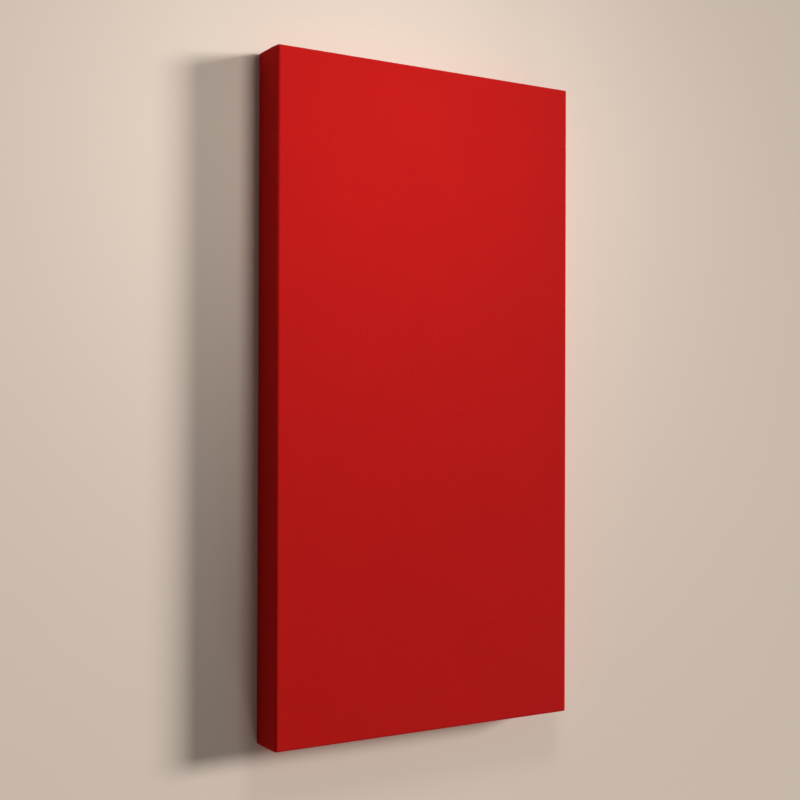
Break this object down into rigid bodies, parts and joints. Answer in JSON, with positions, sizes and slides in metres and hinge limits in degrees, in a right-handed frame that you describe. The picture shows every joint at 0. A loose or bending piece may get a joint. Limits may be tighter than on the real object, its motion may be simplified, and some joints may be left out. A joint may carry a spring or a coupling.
{
  "type": "fabric acoustic wall panel",
  "caption": "Flat rectangular sound-absorbing wall panel: a mineral wool slab in a timber frame, wrapped in red woven fabric with crisp edges.",
  "frame": {"origin": "middle of the panel's back, on the floor that it lies on", "axes": "+X across the width, to the right as seen on the wall; +Y along the length, to the panel's top; +Z out of the fabric face"},
  "size_m": [0.6396, 1.2396, 0.0801],
  "materials": {
    "cover_fabric": "matt, finely woven polyester cloth, stretched",
    "frame_timber": "planed softwood, unfinished",
    "mineral_wool": "matted mineral fibre with cut edges",
    "scrim_cloth": "thin spunbonded non-woven, matt black",
    "staple_wire": "galvanised flat wire"
  },
  "bodies": {
    "root": {"cover": "cover_fabric", "stile_left": "frame_timber", "stile_right": "frame_timber", "rail_top": "frame_timber", "rail_bottom": "frame_timber", "brace": "frame_timber", "slab": "mineral_wool", "back_scrim": "scrim_cloth"}
  },
  "joints": []
}
